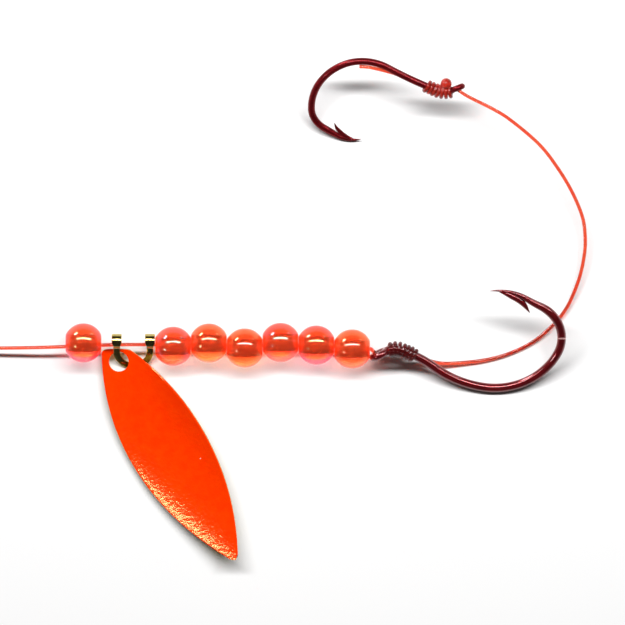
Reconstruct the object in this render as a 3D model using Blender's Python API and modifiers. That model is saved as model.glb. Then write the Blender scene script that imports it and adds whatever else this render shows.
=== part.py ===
"""Two-hook snelled spinner rig: seven beads and a clevis with a willow blade on a monofilament line.

The line is snelled onto a front hook and runs on to a rear hook.  +X runs along the bead row towards
the hooks, the rig lies on z = 0, and the origin is the middle of the rig without its leader.
"""
import math

import bmesh
import bpy
from mathutils import Euler, Vector

MM = 0.001

# ---- driving dimensions, in millimetres ----

LINE_D = 0.45
BEAD_D = 4.95
BEAD_LENGTH = 4.42
BEAD_BORE_D = 1.6
BEAD_AXIS_Z = BEAD_D / 2
LINE_Z = BEAD_AXIS_Z - 0.2

ROW_Y = -4.62
LEAD_BEAD_X = -30.4
LEAD_BEAD_SHIFT = 0.3
SPACER_X = -19.2
SPACER_PITCH = 4.475
# How far each spacer bead lies across the line, within the play of its bore.
SPACER_SHIFTS = (-0.12, 0.28, -0.33, 0.36, 0.03, -0.45)

CLEVIS_X = -24.17
CLEVIS_SPAN = 4.16
CLEVIS_AXIS_Y = -4.14
CLEVIS_AXIS_Z = 2.35
CLEVIS_REACH = 3.6
CLEVIS_TILT = 33.0
CLEVIS_STRIP = 0.85
CLEVIS_THICK = 0.25
EAR_LENGTH = 1.25
EAR_RADIUS = 0.95
EAR_BORE_RADIUS = 0.67

BLADE_LENGTH = 30.6
BLADE_HALF_WIDTH = 4.95
BLADE_SIDE_BOW = 0.25
BLADE_THICK = 0.3
BLADE_WIDEST = 0.46
BLADE_HEEL_HALF_WIDTH = 1.45
BLADE_TIP_HALF_WIDTH = 0.36
BLADE_HEEL_ROUND = 0.6
BLADE_HEEL_SQUARENESS = 3.5
# The heel is cut slantwise: so much further along per mm across, easing off over the slant's reach.
BLADE_HEEL_SLANT = 0.56
BLADE_SLANT_REACH = 4.0
BLADE_TIP_ROUND = 0.45
BLADE_FLANK_POWER = 2.05
BLADE_HOLE = (-25.87, -6.59)
BLADE_HOLE_D = 2.5
BLADE_HOLE_INSET = 1.85
HOLE_CUT_DEPTH = 8.0
BLADE_ANGLE = -59.0
BLADE_ROLL = 8.0
BLADE_CUP_RADIUS = 12.0
BLADE_HEEL_RISE = 0.9
BLADE_TIP_RISE = 3.0
# Pieces that rest on the floor are this far above it.
FLOOR_GAP = 0.02

FRONT_WIRE_D = 1.1
FRONT_EYE = (6.64, -5.74, 2.76)
FRONT_TILT = 27.5
REAR_WIRE_D = 0.88
REAR_EYE = (16.29, 27.47, 6.2)
REAR_TILT = -33.0
REAR_PITCH = 7.0

# The eye is bent from wire that is ground a little thinner than the shank.
EYE_WIRE_SHARE = 0.86
# A hook's point tapers as this power of the distance left to its tip, down to a share of the wire.
POINT_POWER = 0.7
POINT_SHARE = 0.12
TAG_LENGTH = 9.6

LEADER_LENGTH = 900.0
LEADER_RUN = 15.0
LEADER_TAIL = 5.5
LEADER_IN_Y = -4.98
COIL_LAYERS = 4
COIL_COLUMNS = 9
COIL_PITCH = 0.46
COIL_EXTRA_TURN = 0.25
COIL_X = -47.9
KNOT_RADIUS = 0.55
KNOT_LENGTH = 1.8
LOOP_LENGTH = 7.0
LOOP_HALF_WIDTH = 1.7
# The line rises a little to the knot's middle, and stops short of the knot at either end.
TAIL_RISE = 0.12
KNOT_GAP = 0.1
TIE_WALL = 0.22
TIE_WIDTH = 0.8

# Pieces that touch are this far apart, and lengths of line that meet end to end are MEET_GAP apart.
TOUCH_GAP = 0.05
MEET_GAP = 0.3

# ---- derived sizes ----

LINE_R = LINE_D / 2
EAR_OVERLAP = 0.15 * EAR_RADIUS

COIL_TURNS = COIL_LAYERS * COIL_COLUMNS + COIL_EXTRA_TURN
COIL_MEAN_RADIUS = (LEADER_LENGTH - LEADER_RUN - LEADER_TAIL) / (2 * math.pi * COIL_TURNS)
COIL_LAST_RADIUS = COIL_MEAN_RADIUS + (COIL_COLUMNS - 1) / 2 * COIL_PITCH
COIL_HALF_BUNDLE = COIL_COLUMNS / 2 * COIL_PITCH
COIL_OUTSIDE = COIL_MEAN_RADIUS + COIL_HALF_BUNDLE
COIL_INSIDE = COIL_MEAN_RADIUS - COIL_HALF_BUNDLE
COIL_HEIGHT = COIL_LAYERS * LINE_D
COIL_Y = LEADER_IN_Y - COIL_LAST_RADIUS
COIL_TOP_TURN_Z = COIL_HEIGHT - LINE_R
# Distance along a tangent at which a line has the meeting gap to the coil's outside.
TANGENT_CLEAR = math.sqrt((COIL_OUTSIDE + MEET_GAP) ** 2 - COIL_LAST_RADIUS ** 2)


# ---- helpers ----

def clear_scene():
    for obj in list(bpy.data.objects):
        bpy.data.objects.remove(obj, do_unlink=True)


def collection(name):
    made = bpy.data.collections.new(name)
    bpy.context.scene.collection.children.link(made)
    return made


def make_material(name, color, roughness, metallic=0.0, transmission=0.0):
    material = bpy.data.materials.new(name)
    material.use_nodes = True
    shader = material.node_tree.nodes["Principled BSDF"]
    shader.inputs["Base Color"].default_value = (*color, 1.0)
    shader.inputs["Roughness"].default_value = roughness
    shader.inputs["Metallic"].default_value = metallic
    shader.inputs["Transmission Weight"].default_value = transmission
    return material


def radians(angles):
    return [math.radians(angle) for angle in angles]


def finish(obj, material, sharp_angle=40):
    """Shade an object smooth, give it its material and put it in the rig's collection."""
    if obj.type == "MESH" and obj.data.polygons:
        obj.data.shade_smooth()
        obj.data.set_sharp_from_angle(angle=math.radians(sharp_angle))
    obj.data.materials.clear()
    obj.data.materials.append(material)
    RIG.objects.link(obj)
    return obj


def point(values):
    return Vector(values) * MM


def mesh_object(name, bm):
    mesh = bpy.data.meshes.new(name)
    bm.to_mesh(mesh)
    bm.free()
    return bpy.data.objects.new(name, mesh)


def tube(name, points, radius, scales=None, closed=False, sides=8):
    """A wire: a poly spline through points in mm, bevelled to a round section with filled caps."""
    curve = bpy.data.curves.new(name, "CURVE")
    curve.dimensions = "3D"
    curve.bevel_depth = radius * MM
    curve.bevel_resolution = (sides - 4) // 2
    curve.use_fill_caps = not closed
    curve.render_resolution_u = 0
    spline = curve.splines.new("POLY")
    spline.points.add(len(points) - 1)
    spline.use_cyclic_u = closed
    for index, place in enumerate(points):
        spline.points[index].co = (*point(place), 1.0)
        if scales:
            spline.points[index].radius = scales[index]
    return bpy.data.objects.new(name, curve)


def flat_outline(name, outline, thickness):
    """A flat plate with the given outline in mm, in its own XY plane and half its thickness each side."""
    curve = bpy.data.curves.new(name, "CURVE")
    curve.dimensions = "2D"
    curve.fill_mode = "BOTH"
    curve.extrude = thickness / 2 * MM
    curve.render_resolution_u = 0
    spline = curve.splines.new("POLY")
    spline.points.add(len(outline) - 1)
    spline.use_cyclic_u = True
    for index, (x, y) in enumerate(outline):
        spline.points[index].co = (x * MM, y * MM, 0.0, 1.0)
    return bpy.data.objects.new(name, curve)


def as_mesh(obj):
    """Turn a curve object, or an object with modifiers, into a plain welded mesh object."""
    BENCH.objects.link(obj)
    bpy.context.view_layer.update()
    evaluated = obj.evaluated_get(bpy.context.evaluated_depsgraph_get())
    mesh = bpy.data.meshes.new_from_object(evaluated)
    bm = bmesh.new()
    bm.from_mesh(mesh)
    bmesh.ops.remove_doubles(bm, verts=bm.verts, dist=0.0005 * MM)
    bm.to_mesh(mesh)
    bm.free()
    name = obj.name
    matrix = obj.matrix_world.copy()
    bpy.data.objects.remove(obj, do_unlink=True)
    made = bpy.data.objects.new(name, mesh)
    made.matrix_world = matrix
    return made


def combine(base, tool, operation):
    """Apply one Boolean to base, and discard the tool."""
    BENCH.objects.link(tool)
    modifier = base.modifiers.new(operation.title(), "BOOLEAN")
    modifier.operation = operation
    modifier.solver = "EXACT"
    modifier.object = tool
    made = as_mesh(base)
    bpy.data.objects.remove(tool, do_unlink=True)
    return made


def turned(name, profile, steps, ring=True):
    """A solid of revolution about its own Z axis, from a (radius, height) profile in mm.

    A ring's profile is a closed loop; any other profile starts and ends on the axis.
    """
    bm = bmesh.new()
    verts = [bm.verts.new(point((radius, 0.0, height))) for radius, height in profile]
    following = verts[1:] + verts[:1] if ring else verts[1:]
    for first, second in zip(verts, following):
        bm.edges.new((first, second))
    obj = mesh_object(name, bm)
    screw = obj.modifiers.new("Turn", "SCREW")
    screw.steps = steps
    screw.render_steps = steps
    screw.use_merge_vertices = not ring
    screw.merge_threshold = 0.000001
    screw.use_smooth_shade = True
    return obj


def smooth_curve(controls, steps=24):
    """A smooth curve through the control points, with the given steps between each pair."""
    ends = [2 * Vector(controls[0]) - Vector(controls[1]), 2 * Vector(controls[-1]) - Vector(controls[-2])]
    knots = [ends[0]] + [Vector(control) for control in controls] + [ends[1]]
    fine = []
    for before, start, end, after in zip(knots, knots[1:], knots[2:], knots[3:]):
        for step in range(steps):
            t = step / steps
            fine.append(0.5 * (2 * start + (end - before) * t
                               + (2 * before - 5 * start + 4 * end - after) * t ** 2
                               + (3 * start - before - 3 * end + after) * t ** 3))
    fine.append(knots[-2])
    return fine


def smooth_route(controls, spacing):
    """Evenly spaced points on a smooth curve through the control points."""
    fine = smooth_curve(controls)
    lengths = [0.0]
    for first, second in zip(fine, fine[1:]):
        lengths.append(lengths[-1] + (second - first).length)
    count = max(2, round(lengths[-1] / spacing) + 1)
    route = []
    place = 0
    for index in range(count):
        target = lengths[-1] * index / (count - 1)
        while place < len(fine) - 2 and lengths[place + 1] < target:
            place += 1
        share = (target - lengths[place]) / (lengths[place + 1] - lengths[place])
        route.append(fine[place].lerp(fine[place + 1], min(share, 1.0)))
    return route


# ---- beads ----

def bead_profile(arc_steps=10):
    """A slightly squashed ball with a bore: down the outside, then back up the bore."""
    radius = BEAD_D / 2
    bore = BEAD_BORE_D / 2
    start = math.acos(bore / radius)
    half_length = BEAD_LENGTH / 2 / math.sin(start)
    outside = []
    for step in range(arc_steps + 1):
        angle = start - 2 * start * step / arc_steps
        outside.append((radius * math.cos(angle), half_length * math.sin(angle)))
    return outside


def add_bead(name, x, y, material):
    bead = turned(name, bead_profile(), steps=22)
    bead.location = point((x, y, BEAD_AXIS_Z))
    bead.rotation_euler = (0.0, math.radians(90), 0.0)
    return finish(bead, material)


# ---- clevis ----

def clevis_outline(arc_steps=14):
    """The flat U of the clevis seen square on: ears' axis along X at y = 0, bow at -y."""
    straight = CLEVIS_REACH - CLEVIS_SPAN / 2
    outline = []
    for side, half in ((1, CLEVIS_SPAN / 2 + CLEVIS_STRIP / 2), (-1, CLEVIS_SPAN / 2 - CLEVIS_STRIP / 2)):
        path = [(-half, EAR_OVERLAP - EAR_RADIUS), (-half, -straight)]
        for step in range(1, arc_steps):
            angle = math.pi * step / arc_steps
            path.append((-half * math.cos(angle), -straight - half * math.sin(angle)))
        path += [(half, -straight), (half, EAR_OVERLAP - EAR_RADIUS)]
        outline += path[::side]
    return outline


def add_clevis(material):
    clevis = as_mesh(flat_outline("clevis", clevis_outline(), CLEVIS_THICK))
    half = EAR_LENGTH / 2
    profile = [(EAR_BORE_RADIUS, half), (EAR_RADIUS, half), (EAR_RADIUS, -half), (EAR_BORE_RADIUS, -half)]
    for side in (-1, 1):
        ear = turned("ear", profile, steps=20)
        ear.location = point((side * CLEVIS_SPAN / 2, 0.0, 0.0))
        ear.rotation_euler = (0.0, math.radians(90), 0.0)
        clevis = combine(clevis, ear, "UNION")
    clevis.location = point((CLEVIS_X, CLEVIS_AXIS_Y, CLEVIS_AXIS_Z))
    clevis.rotation_euler = (math.radians(CLEVIS_TILT), 0.0, 0.0)
    return finish(clevis, material)


# ---- blade ----

def leaf_half_width(along):
    """Half width of the willow leaf at a distance from its heel, before its ends are rounded."""
    widest = BLADE_WIDEST * BLADE_LENGTH
    if along < widest:
        share = (widest - along) / widest
        return BLADE_HALF_WIDTH - (BLADE_HALF_WIDTH - BLADE_HEEL_HALF_WIDTH) * share ** BLADE_FLANK_POWER
    share = (along - widest) / (BLADE_LENGTH - widest)
    return BLADE_HALF_WIDTH - (BLADE_HALF_WIDTH - BLADE_TIP_HALF_WIDTH) * share ** BLADE_FLANK_POWER


def heel_slant(along):
    """How much further along a station's line runs for each mm across."""
    return BLADE_HEEL_SLANT * max(0.0, 1 - along / BLADE_SLANT_REACH) ** 2


def blade_reach(along, side):
    """How far the blade's outline lies across on one side, +1 or -1, at a station."""
    slant = side * heel_slant(along) * leaf_half_width(along)
    heel = 1 - min(along / BLADE_HEEL_ROUND, 1.0)
    tip = 1 - min((BLADE_LENGTH - along) / BLADE_TIP_ROUND, 1.0)
    squared = (1 - heel ** BLADE_HEEL_SQUARENESS) ** (1 / BLADE_HEEL_SQUARENESS)
    return side * leaf_half_width(along + slant) * squared * math.sqrt(1 - tip ** 2)


def blade_height(along, across):
    """Height of the middle of the sheet above its belly: cupped across, level at the hole, tip turned up."""
    belly = BLADE_WIDEST * BLADE_LENGTH
    if along < belly:
        share = min((belly - along) / (belly - BLADE_HOLE_INSET), 1.0)
        rise = BLADE_HEEL_RISE * (1 - math.cos(math.pi * share)) / 2
    else:
        rise = BLADE_TIP_RISE * ((along - belly) / (BLADE_LENGTH - belly)) ** 2
    return rise + across ** 2 / (2 * BLADE_CUP_RADIUS)


def blade_stations(middle_steps=16):
    """Distances from the heel, close together where the outline turns quickly."""
    rounded = [1 - math.cos(math.radians(angle)) for angle in (12, 36, 60, 90)]
    heel = [BLADE_HEEL_ROUND * share for share in rounded]
    inner = BLADE_LENGTH - BLADE_HEEL_ROUND - BLADE_TIP_ROUND
    middle = [BLADE_HEEL_ROUND + inner * step / middle_steps for step in range(1, middle_steps)]
    tip = [BLADE_LENGTH - BLADE_TIP_ROUND * share for share in reversed(rounded)]
    return heel + middle + tip


def add_blade(material, columns=8):
    bm = bmesh.new()
    rows = []
    for station in blade_stations():
        left, right = blade_reach(station, -1), blade_reach(station, 1)
        middle = -BLADE_SIDE_BOW * math.sin(math.pi * station / BLADE_LENGTH)
        row = []
        for column in range(columns + 1):
            across = left + (right - left) * column / columns
            along = station + heel_slant(station) * across
            place = (along - BLADE_HOLE_INSET, middle + across, blade_height(along, across))
            row.append(bm.verts.new(point(place)))
        rows.append(row)
    for first, second in zip(rows, rows[1:]):
        for column in range(columns):
            bm.faces.new((first[column], second[column], second[column + 1], first[column + 1]))
    blade = mesh_object("blade", bm)
    sheet = blade.modifiers.new("Sheet", "SOLIDIFY")
    sheet.thickness = BLADE_THICK * MM
    sheet.offset = 0.0
    blade = as_mesh(blade)
    radius = BLADE_HOLE_D / 2 * MM
    cutter_bm = bmesh.new()
    bmesh.ops.create_cone(cutter_bm, cap_ends=True, segments=24, radius1=radius, radius2=radius,
                          depth=HOLE_CUT_DEPTH * MM)
    blade = combine(blade, mesh_object("hole", cutter_bm), "DIFFERENCE")
    turn = Euler(radians((BLADE_ROLL, 0.0, BLADE_ANGLE)))
    lowest = min((turn.to_matrix() @ vertex.co).z for vertex in blade.data.vertices)
    blade.location = point((*BLADE_HOLE, FLOOR_GAP)) - Vector((0.0, 0.0, lowest))
    blade.rotation_euler = turn
    return finish(blade, material)


# ---- hooks ----

# Each hook lies in its own XY plane with the eye at the origin, and its point on the +Y side.
# An arc is (length in mm, turn in degrees), from the eye along the shank and round to the point.
# A barb is a curved sliver raised from the wire: (distance back from the point, distance inward from
# the wire's middle, radius).  The spear is the length over which the wire is ground to its point.
FRONT_HOOK = {
    "wire": FRONT_WIRE_D,
    "eye": 0.92,
    "heading": 27.5,
    "arcs": ((2.05, -49), (4.65, -18), (6.85, 30), (11.1, 73), (7.75, 88.8), (1.95, -7), (4.9, 41.8)),
    "spear": 8.0,
    "barb": ((1.25, 0.05, 0.19), (2.7, 0.43, 0.38), (4.0, 0.63, 0.41), (5.1, 0.87, 0.33), (6.15, 1.42, 0.06)),
    "snell": (0.35, 3.65),
}
REAR_HOOK = {
    "wire": REAR_WIRE_D,
    "eye": 0.65,
    "heading": 24.5,
    "arcs": ((2.2, -50), (6.65, -8), (5.8, 57), (8.35, 64), (3.27, 57.2), (1.98, 1.3), (3.15, 48)),
    "spear": 4.5,
    "barb": ((1.2, 0.05, 0.2), (2.3, 0.4, 0.27), (3.35, 0.72, 0.25), (3.9, 0.96, 0.18), (4.4, 1.37, 0.06)),
    "snell": (0.2, 3.5),
}


def hook_line(hook, step=0.55):
    """The wire's centre line: points, headings in radians and distance along it, in mm."""
    heading = math.radians(hook["heading"])
    place = Vector((math.cos(heading), math.sin(heading), 0.0)) * hook["eye"]
    stations = [(place.copy(), heading, 0.0)]
    travelled = 0.0
    for length, turn in hook["arcs"]:
        count = max(2, round(length / step))
        for _ in range(count):
            half_turn = math.radians(turn) / count / 2
            heading += half_turn
            place += Vector((math.cos(heading), math.sin(heading), 0.0)) * (length / count)
            heading += half_turn
            travelled += length / count
            stations.append((place.copy(), heading, travelled))
    return stations


def place_along(stations, travelled):
    """The place on the wire's centre line at a distance along it, and the inward direction there."""
    for (start, heading, before), (end, next_heading, after) in zip(stations, stations[1:]):
        if travelled <= after:
            break
    share = (travelled - before) / (after - before)
    heading += (next_heading - heading) * share
    return start.lerp(end, share), Vector((-math.sin(heading), math.cos(heading), 0.0))


def hook_wire(name, hook):
    """The bent wire: full along the shank, ground to a point at the end."""
    stations = hook_line(hook)
    total = stations[-1][2]
    scales = []
    for _, _, travelled in stations:
        share = (total - travelled) / hook["spear"]
        scales.append(max(POINT_SHARE, min(1.0, share ** POINT_POWER)))
    places = [place for place, _, _ in stations]
    return as_mesh(tube(name, places, hook["wire"] / 2, scales, sides=10))


def hook_eye(hook, rotation, steps=18):
    """The eye's ring, which holds the shank's direction and the vertical once the hook is in place."""
    heading = math.radians(hook["heading"])
    outward = Vector((math.cos(heading), math.sin(heading), 0.0))
    upright = Euler(rotation).to_matrix().transposed() @ Vector((0.0, 0.0, 1.0))
    upright = (upright - outward * upright.dot(outward)).normalized()
    ring = []
    for step in range(steps):
        angle = 2 * math.pi * (step + 0.5) / steps
        ring.append((outward * math.cos(angle) + upright * math.sin(angle)) * hook["eye"])
    return as_mesh(tube("eye", ring, hook["wire"] / 2 * EYE_WIRE_SHARE, closed=True))


def hook_barb(hook):
    stations = hook_line(hook, step=0.2)
    total = stations[-1][2]
    places = []
    for setback, inward, _ in hook["barb"]:
        place, direction = place_along(stations, total - setback)
        places.append(place + direction * inward)
    thickest = max(radius for _, _, radius in hook["barb"])
    scales = [radius / thickest for _, _, radius in hook["barb"]]
    return as_mesh(tube("barb", places, thickest, scales))


def add_hook(name, hook, location, rotation, material):
    turn = radians(rotation)
    body = combine(hook_wire(name, hook), hook_eye(hook, turn), "UNION")
    body = combine(body, hook_barb(hook), "UNION")
    body.location = point(location)
    body.rotation_euler = Euler(turn)
    return finish(body, material)


def add_snell(name, hook, location, rotation, material):
    """The wraps round the shank, as one sleeve that leaves the shank clear."""
    first, last = hook["snell"]
    inside = [place for place, _, travelled in hook_line(hook, step=0.3) if first <= travelled <= last]
    wire = hook["wire"] / 2
    sides = 12
    sleeve = as_mesh(tube(name, inside, wire + LINE_D, sides=sides))
    ends = [inside[0] * 2 - inside[1], *inside, inside[-1] * 2 - inside[-2]]
    sleeve = combine(sleeve, as_mesh(tube("bore", ends, wire + TOUCH_GAP, sides=sides)), "DIFFERENCE")
    sleeve.location = point(location)
    sleeve.rotation_euler = Euler(radians(rotation))
    return finish(sleeve, material)


# Where the cut end of the line lies round the rear shank: (share of its length, degrees from the inside).
TAG_TURNS = ((0.0, -45), (0.4, -40), (0.6, -8), (0.8, 33), (1.0, 18))


def add_tag(hook, location, rotation, material):
    """The line's cut end: under the shank at the snell, and out on its inner side further on."""
    stations = hook_line(hook, step=0.3)
    first = hook["snell"][1] + TOUCH_GAP + MEET_GAP
    reach = hook["wire"] / 2 + LINE_R + TOUCH_GAP
    turns = [Vector((share * TAG_LENGTH, degrees, 0.0)) for share, degrees in TAG_TURNS]
    route = []
    for travelled, degrees, _ in smooth_curve(turns, steps=3):
        place, inward = place_along(stations, first + travelled)
        side = math.radians(degrees)
        route.append(place + inward * (reach * math.cos(side)) + Vector((0, 0, reach * math.sin(side))))
    tag = tube("rear_tag", route, LINE_R)
    tag.location = point(location)
    tag.rotation_euler = Euler(radians(rotation))
    return finish(tag, material)


# ---- line through the beads, and the dropper between the hooks ----

LINE_CORE_ROUTE = (
    (-32.8, -4.8, LINE_Z), (-30.4, -4.7, LINE_Z), (-26.0, -4.55, LINE_Z), (-21.5, -4.54, LINE_Z),
    (-14.0, -4.6, LINE_Z), (-6.0, -4.63, LINE_Z), (-1.0, -4.68, LINE_Z), (3.0, -4.88, LINE_Z),
    (5.5, -5.04, LINE_Z + 0.05),
)
DROPPER_ROUTE = (
    (11.2, -6.05, 1.66), (12.4, -6.42, 1.3), (13.6, -6.75, 1.02), (14.85, -6.9, 0.85),
    (17.35, -6.77, 0.55), (19.85, -6.46, 0.4), (22.35, -5.83, 0.3), (24.85, -4.77, 0.3),
    (26.6, -3.62, 0.35), (28.2, -2.2, 0.42), (29.4, -0.85, 0.55), (30.5, 0.97, 0.75),
    (31.65, 3.97, 1.1), (32.25, 6.97, 1.45), (32.3, 9.2, 1.72), (31.95, 11.47, 2.0),
    (30.7, 14.47, 2.5), (28.9, 17.47, 3.1), (26.55, 20.47, 3.8), (23.0, 23.47, 4.75),
    (20.7, 24.9, 5.35), (17.7, 26.4, 6.0),
)


def add_line(name, controls, spacing, material):
    route = smooth_route(controls, spacing)
    start = route[0].copy()
    line = tube(name, [place - start for place in route], LINE_R)
    line.location = point(start)
    return finish(line, material)


# ---- leader: a straight run, a coil with its tie, and an end loop ----

def add_leader(line_material, tie_material):
    add_line("leader_line", (
        (-33.1, -4.81, LINE_Z), (-35.5, -4.89, LINE_Z - 0.08), (-40.0, -4.97, LINE_Z - 0.4),
        (COIL_X + TANGENT_CLEAR, LEADER_IN_Y, COIL_TOP_TURN_Z),
    ), 1.2, line_material)

    coil = turned("leader_coil", [(COIL_INSIDE, COIL_HEIGHT), (COIL_OUTSIDE, COIL_HEIGHT),
                                  (COIL_OUTSIDE, 0.0), (COIL_INSIDE, 0.0)], steps=36)
    coil.location = point((COIL_X, COIL_Y, 0.0))
    finish(coil, line_material)

    tail_x = COIL_X - COIL_LAST_RADIUS
    tail_start = COIL_Y - TANGENT_CLEAR
    knot_start = tail_start - (LEADER_TAIL - TANGENT_CLEAR)
    add_line("leader_tail", (
        (tail_x, tail_start, LINE_R), (tail_x, (tail_start + knot_start) / 2, LINE_R + TAIL_RISE / 2),
        (tail_x, knot_start + KNOT_GAP, LINE_R + TAIL_RISE),
    ), 1.0, line_material)
    add_knot(tail_x, knot_start, line_material)
    add_end_loop(tail_x, knot_start - KNOT_LENGTH - KNOT_GAP, line_material)
    add_coil_tie(tie_material)


def add_knot(x, y, material, arc_steps=8):
    """The knot as a barrel with round ends."""
    half = KNOT_LENGTH / 2
    profile = [(0.0, half)]
    for step in range(1, arc_steps):
        angle = math.pi * step / arc_steps
        profile.append((KNOT_RADIUS * math.sqrt(math.sin(angle)), half * math.cos(angle)))
    profile.append((0.0, -half))
    knot = turned("leader_knot", profile, steps=16, ring=False)
    knot.location = point((x, y - half, KNOT_RADIUS))
    knot.rotation_euler = (math.radians(90), 0.0, 0.0)
    finish(knot, material)


def add_end_loop(x, y, material):
    """A loop lying flat, both ends side by side at the knot."""
    leg = LINE_R + KNOT_GAP
    height = LINE_R + FLOOR_GAP
    controls = []
    for side in (-1, 1):
        reach = [(leg, 0.0), (leg + 0.35, 0.16), (LOOP_HALF_WIDTH * 0.8, 0.4), (LOOP_HALF_WIDTH, 0.68),
                 (LOOP_HALF_WIDTH * 0.66, 0.93)]
        places = [(x + side * across, y - along * LOOP_LENGTH, height) for across, along in reach]
        controls += places if side < 0 else [(x, y - LOOP_LENGTH, height)] + places[::-1]
    add_line("leader_loop", controls, 1.0, material)


def add_coil_tie(material):
    """A saddle over the coil's bundle of turns, at the far side of the coil."""
    clear = 2 * TOUCH_GAP
    inner = COIL_HALF_BUNDLE + clear
    outer = inner + TIE_WALL
    inner_top = COIL_HEIGHT + clear
    outer_top = inner_top + TIE_WALL
    outline = [(-outer, FLOOR_GAP), (-outer, outer_top), (outer, outer_top), (outer, FLOOR_GAP),
               (inner, FLOOR_GAP), (inner, inner_top), (-inner, inner_top), (-inner, FLOOR_GAP)]
    tie = flat_outline("coil_tie", outline, TIE_WIDTH)
    tie.location = point((COIL_X, COIL_Y - COIL_MEAN_RADIUS, 0.0))
    tie.rotation_euler = (math.radians(90), 0.0, math.radians(90))
    finish(tie, material)


# ---- the rig ----

clear_scene()
RIG = collection("spinner_rig")
BENCH = collection("bench")

bead_plastic = make_material("bead_plastic", (0.95, 0.16, 0.06), 0.08, transmission=0.6)
brass = make_material("brass", (0.72, 0.58, 0.22), 0.22, metallic=1.0)
blade_paint = make_material("blade_paint", (1.0, 0.12, 0.01), 0.3)
red_steel = make_material("red_steel", (0.19, 0.012, 0.018), 0.2, metallic=0.8)
line_nylon = make_material("line_nylon", (0.9, 0.2, 0.1), 0.25, transmission=0.4)
tie_plastic = make_material("tie_plastic", (0.85, 0.85, 0.82), 0.45)

add_bead("lead_bead", LEAD_BEAD_X, ROW_Y + LEAD_BEAD_SHIFT, bead_plastic)
for number, shift in enumerate(SPACER_SHIFTS, start=1):
    add_bead(f"spacer_bead_{number}", SPACER_X + (number - 1) * SPACER_PITCH, ROW_Y + shift, bead_plastic)

add_clevis(brass)
add_blade(blade_paint)
add_line("line_core", LINE_CORE_ROUTE, 2.4, line_nylon)

front_rotation = (FRONT_TILT, 0.0, 0.0)
add_hook("front_hook", FRONT_HOOK, FRONT_EYE, front_rotation, red_steel)
add_snell("front_snell", FRONT_HOOK, FRONT_EYE, front_rotation, line_nylon)
add_line("dropper_line", DROPPER_ROUTE, 1.45, line_nylon)

rear_rotation = (REAR_TILT, REAR_PITCH, 180.0)
add_hook("rear_hook", REAR_HOOK, REAR_EYE, rear_rotation, red_steel)
add_snell("rear_snell", REAR_HOOK, REAR_EYE, rear_rotation, line_nylon)
add_tag(REAR_HOOK, REAR_EYE, rear_rotation, line_nylon)

add_leader(line_nylon, tie_plastic)
bpy.data.collections.remove(BENCH)
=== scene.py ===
import math

import bmesh
import bpy
from mathutils import Euler, Matrix, Vector


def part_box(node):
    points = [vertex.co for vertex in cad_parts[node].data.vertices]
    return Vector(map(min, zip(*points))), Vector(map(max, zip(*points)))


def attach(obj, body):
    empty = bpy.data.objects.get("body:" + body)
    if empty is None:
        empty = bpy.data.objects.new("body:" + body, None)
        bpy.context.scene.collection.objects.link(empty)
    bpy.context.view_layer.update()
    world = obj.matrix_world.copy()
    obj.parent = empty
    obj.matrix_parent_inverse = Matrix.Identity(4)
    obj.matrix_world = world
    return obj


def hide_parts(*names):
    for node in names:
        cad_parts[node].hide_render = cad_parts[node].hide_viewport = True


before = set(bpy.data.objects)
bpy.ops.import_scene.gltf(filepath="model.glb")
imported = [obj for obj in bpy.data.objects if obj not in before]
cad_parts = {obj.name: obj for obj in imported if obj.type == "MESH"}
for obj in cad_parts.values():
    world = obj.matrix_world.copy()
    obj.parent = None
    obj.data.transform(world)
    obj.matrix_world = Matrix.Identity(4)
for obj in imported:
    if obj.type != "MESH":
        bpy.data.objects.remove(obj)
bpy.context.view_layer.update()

# The beads' places and sizes come from the frame's boxes. The other places and lengths are in
# millimetres, unless a comment says metres.
MM = 0.001

LINE_D = 0.45
LINE_R = LINE_D / 2
LINE_Z = 2.275
# Where the leader leaves the line through the beads.
LEADER_EXIT = (-33.1, -4.81, LINE_Z)

FRONT_EYE = (6.64, -5.74, 2.76)
FRONT_ROTATION = (27.5, 0.0, 0.0)
REAR_EYE = (16.29, 27.47, 6.2)
REAR_ROTATION = (-33.0, 7.0, 180.0)


# ---- small helpers ----

def point(values):
    return Vector(values) * MM


def box_middle(node):
    low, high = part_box(node)
    return (low + high) / 2 / MM


def box_size(node):
    low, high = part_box(node)
    return (high - low) / MM


def add_object(name, data):
    made = bpy.data.objects.new(name, data)
    bpy.context.scene.collection.objects.link(made)
    return made


def radians(angles):
    return [math.radians(angle) for angle in angles]


def polar(radius, angle):
    return Vector((radius * math.cos(angle), radius * math.sin(angle)))


def heading_vector(heading):
    return Vector((math.cos(heading), math.sin(heading), 0.0))


# ---- meshes ----

def loft(name, rings, looped=False):
    """A closed surface through rings of points in mm; looped joins the last ring to the first."""
    bm = bmesh.new()
    rows = [[bm.verts.new(point(place)) for place in ring] for ring in rings]
    following = rows[1:] + rows[:1] if looped else rows[1:]
    for first, second in zip(rows, following):
        for index in range(len(first)):
            after = (index + 1) % len(first)
            bm.faces.new((first[index], first[after], second[after], second[index]))
    if not looped:
        bm.faces.new(rows[0])
        bm.faces.new(rows[-1])
    bmesh.ops.recalc_face_normals(bm, faces=bm.faces)
    mesh = bpy.data.meshes.new(name)
    bm.to_mesh(mesh)
    bm.free()
    return add_object(name, mesh)


def turned(name, profile, steps):
    """A closed (radius, along) profile in mm turned about the X axis."""
    rings = []
    for step in range(steps):
        angle = 2 * math.pi * step / steps
        across, up = math.cos(angle), math.sin(angle)
        rings.append([(along, radius * across, radius * up) for radius, along in profile])
    return loft(name, rings, looped=True)


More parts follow.
